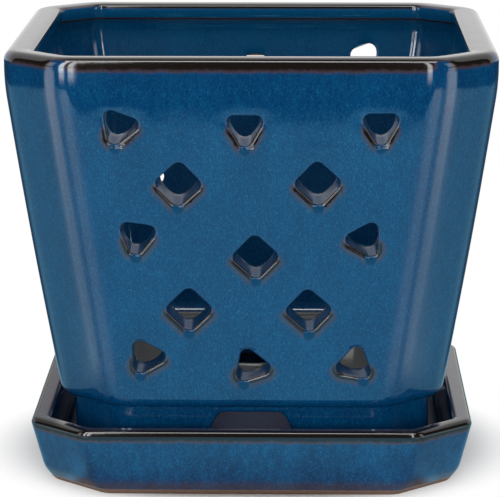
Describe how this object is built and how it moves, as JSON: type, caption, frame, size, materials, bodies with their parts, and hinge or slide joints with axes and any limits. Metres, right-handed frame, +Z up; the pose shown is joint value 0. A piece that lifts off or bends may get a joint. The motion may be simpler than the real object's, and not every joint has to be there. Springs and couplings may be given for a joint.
{
  "type": "orchid pot with saucer",
  "caption": "Glazed cut-corner orchid pot with diamond slots through its tapered walls, a drained floor and a notched foot, standing in a matching saucer.",
  "frame": {"origin": "middle of the saucer's underside, on the ground", "axes": "+Z up, the pictured front towards -Y, +X to its right"},
  "size_m": [0.15, 0.15, 0.137],
  "materials": {
    "pot_glaze": "glossy deep blue reactive glaze that breaks brown on the edges",
    "saucer_glaze": "the same glaze, with bare brown clay at the base"
  },
  "bodies": {
    "saucer": {"saucer": "saucer_glaze"},
    "pot": {"pot": "pot_glaze"}
  },
  "joints": [
    {"name": "pot_lift", "type": "slide", "parent": "saucer", "child": "pot", "axis": [0, 0, 1], "range_m": [0, 0.06]}
  ]
}
